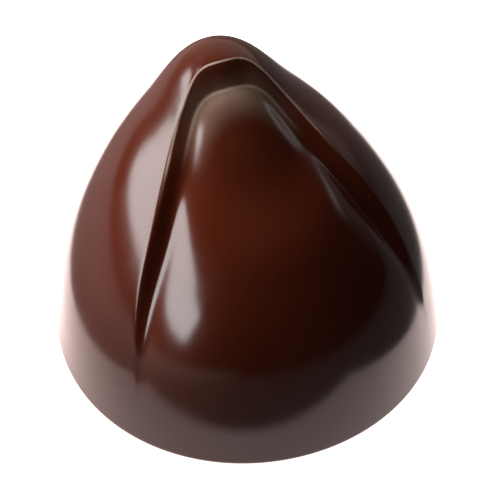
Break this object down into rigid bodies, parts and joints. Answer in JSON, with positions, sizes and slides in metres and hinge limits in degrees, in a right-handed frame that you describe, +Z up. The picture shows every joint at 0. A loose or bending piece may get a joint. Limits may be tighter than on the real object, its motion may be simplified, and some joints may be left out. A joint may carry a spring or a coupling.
{
  "type": "chocolate praline",
  "caption": "Moulded dark chocolate praline: a tall glossy dome leaning back, with an arched hood over a recessed front face and a flat underside.",
  "frame": {"origin": "centre of the flat underside's bounding box, on the surface the praline stands on", "axes": "+Z up, -Y towards the front face inside the arch, +X to the right of someone who faces that front; the left and right halves mirror each other"},
  "size_m": [0.029, 0.029, 0.0233],
  "materials": {
    "dark_chocolate": "tempered dark chocolate, smooth and glossy from a polished mould"
  },
  "bodies": {
    "root": {"praline": "dark_chocolate"}
  },
  "joints": []
}
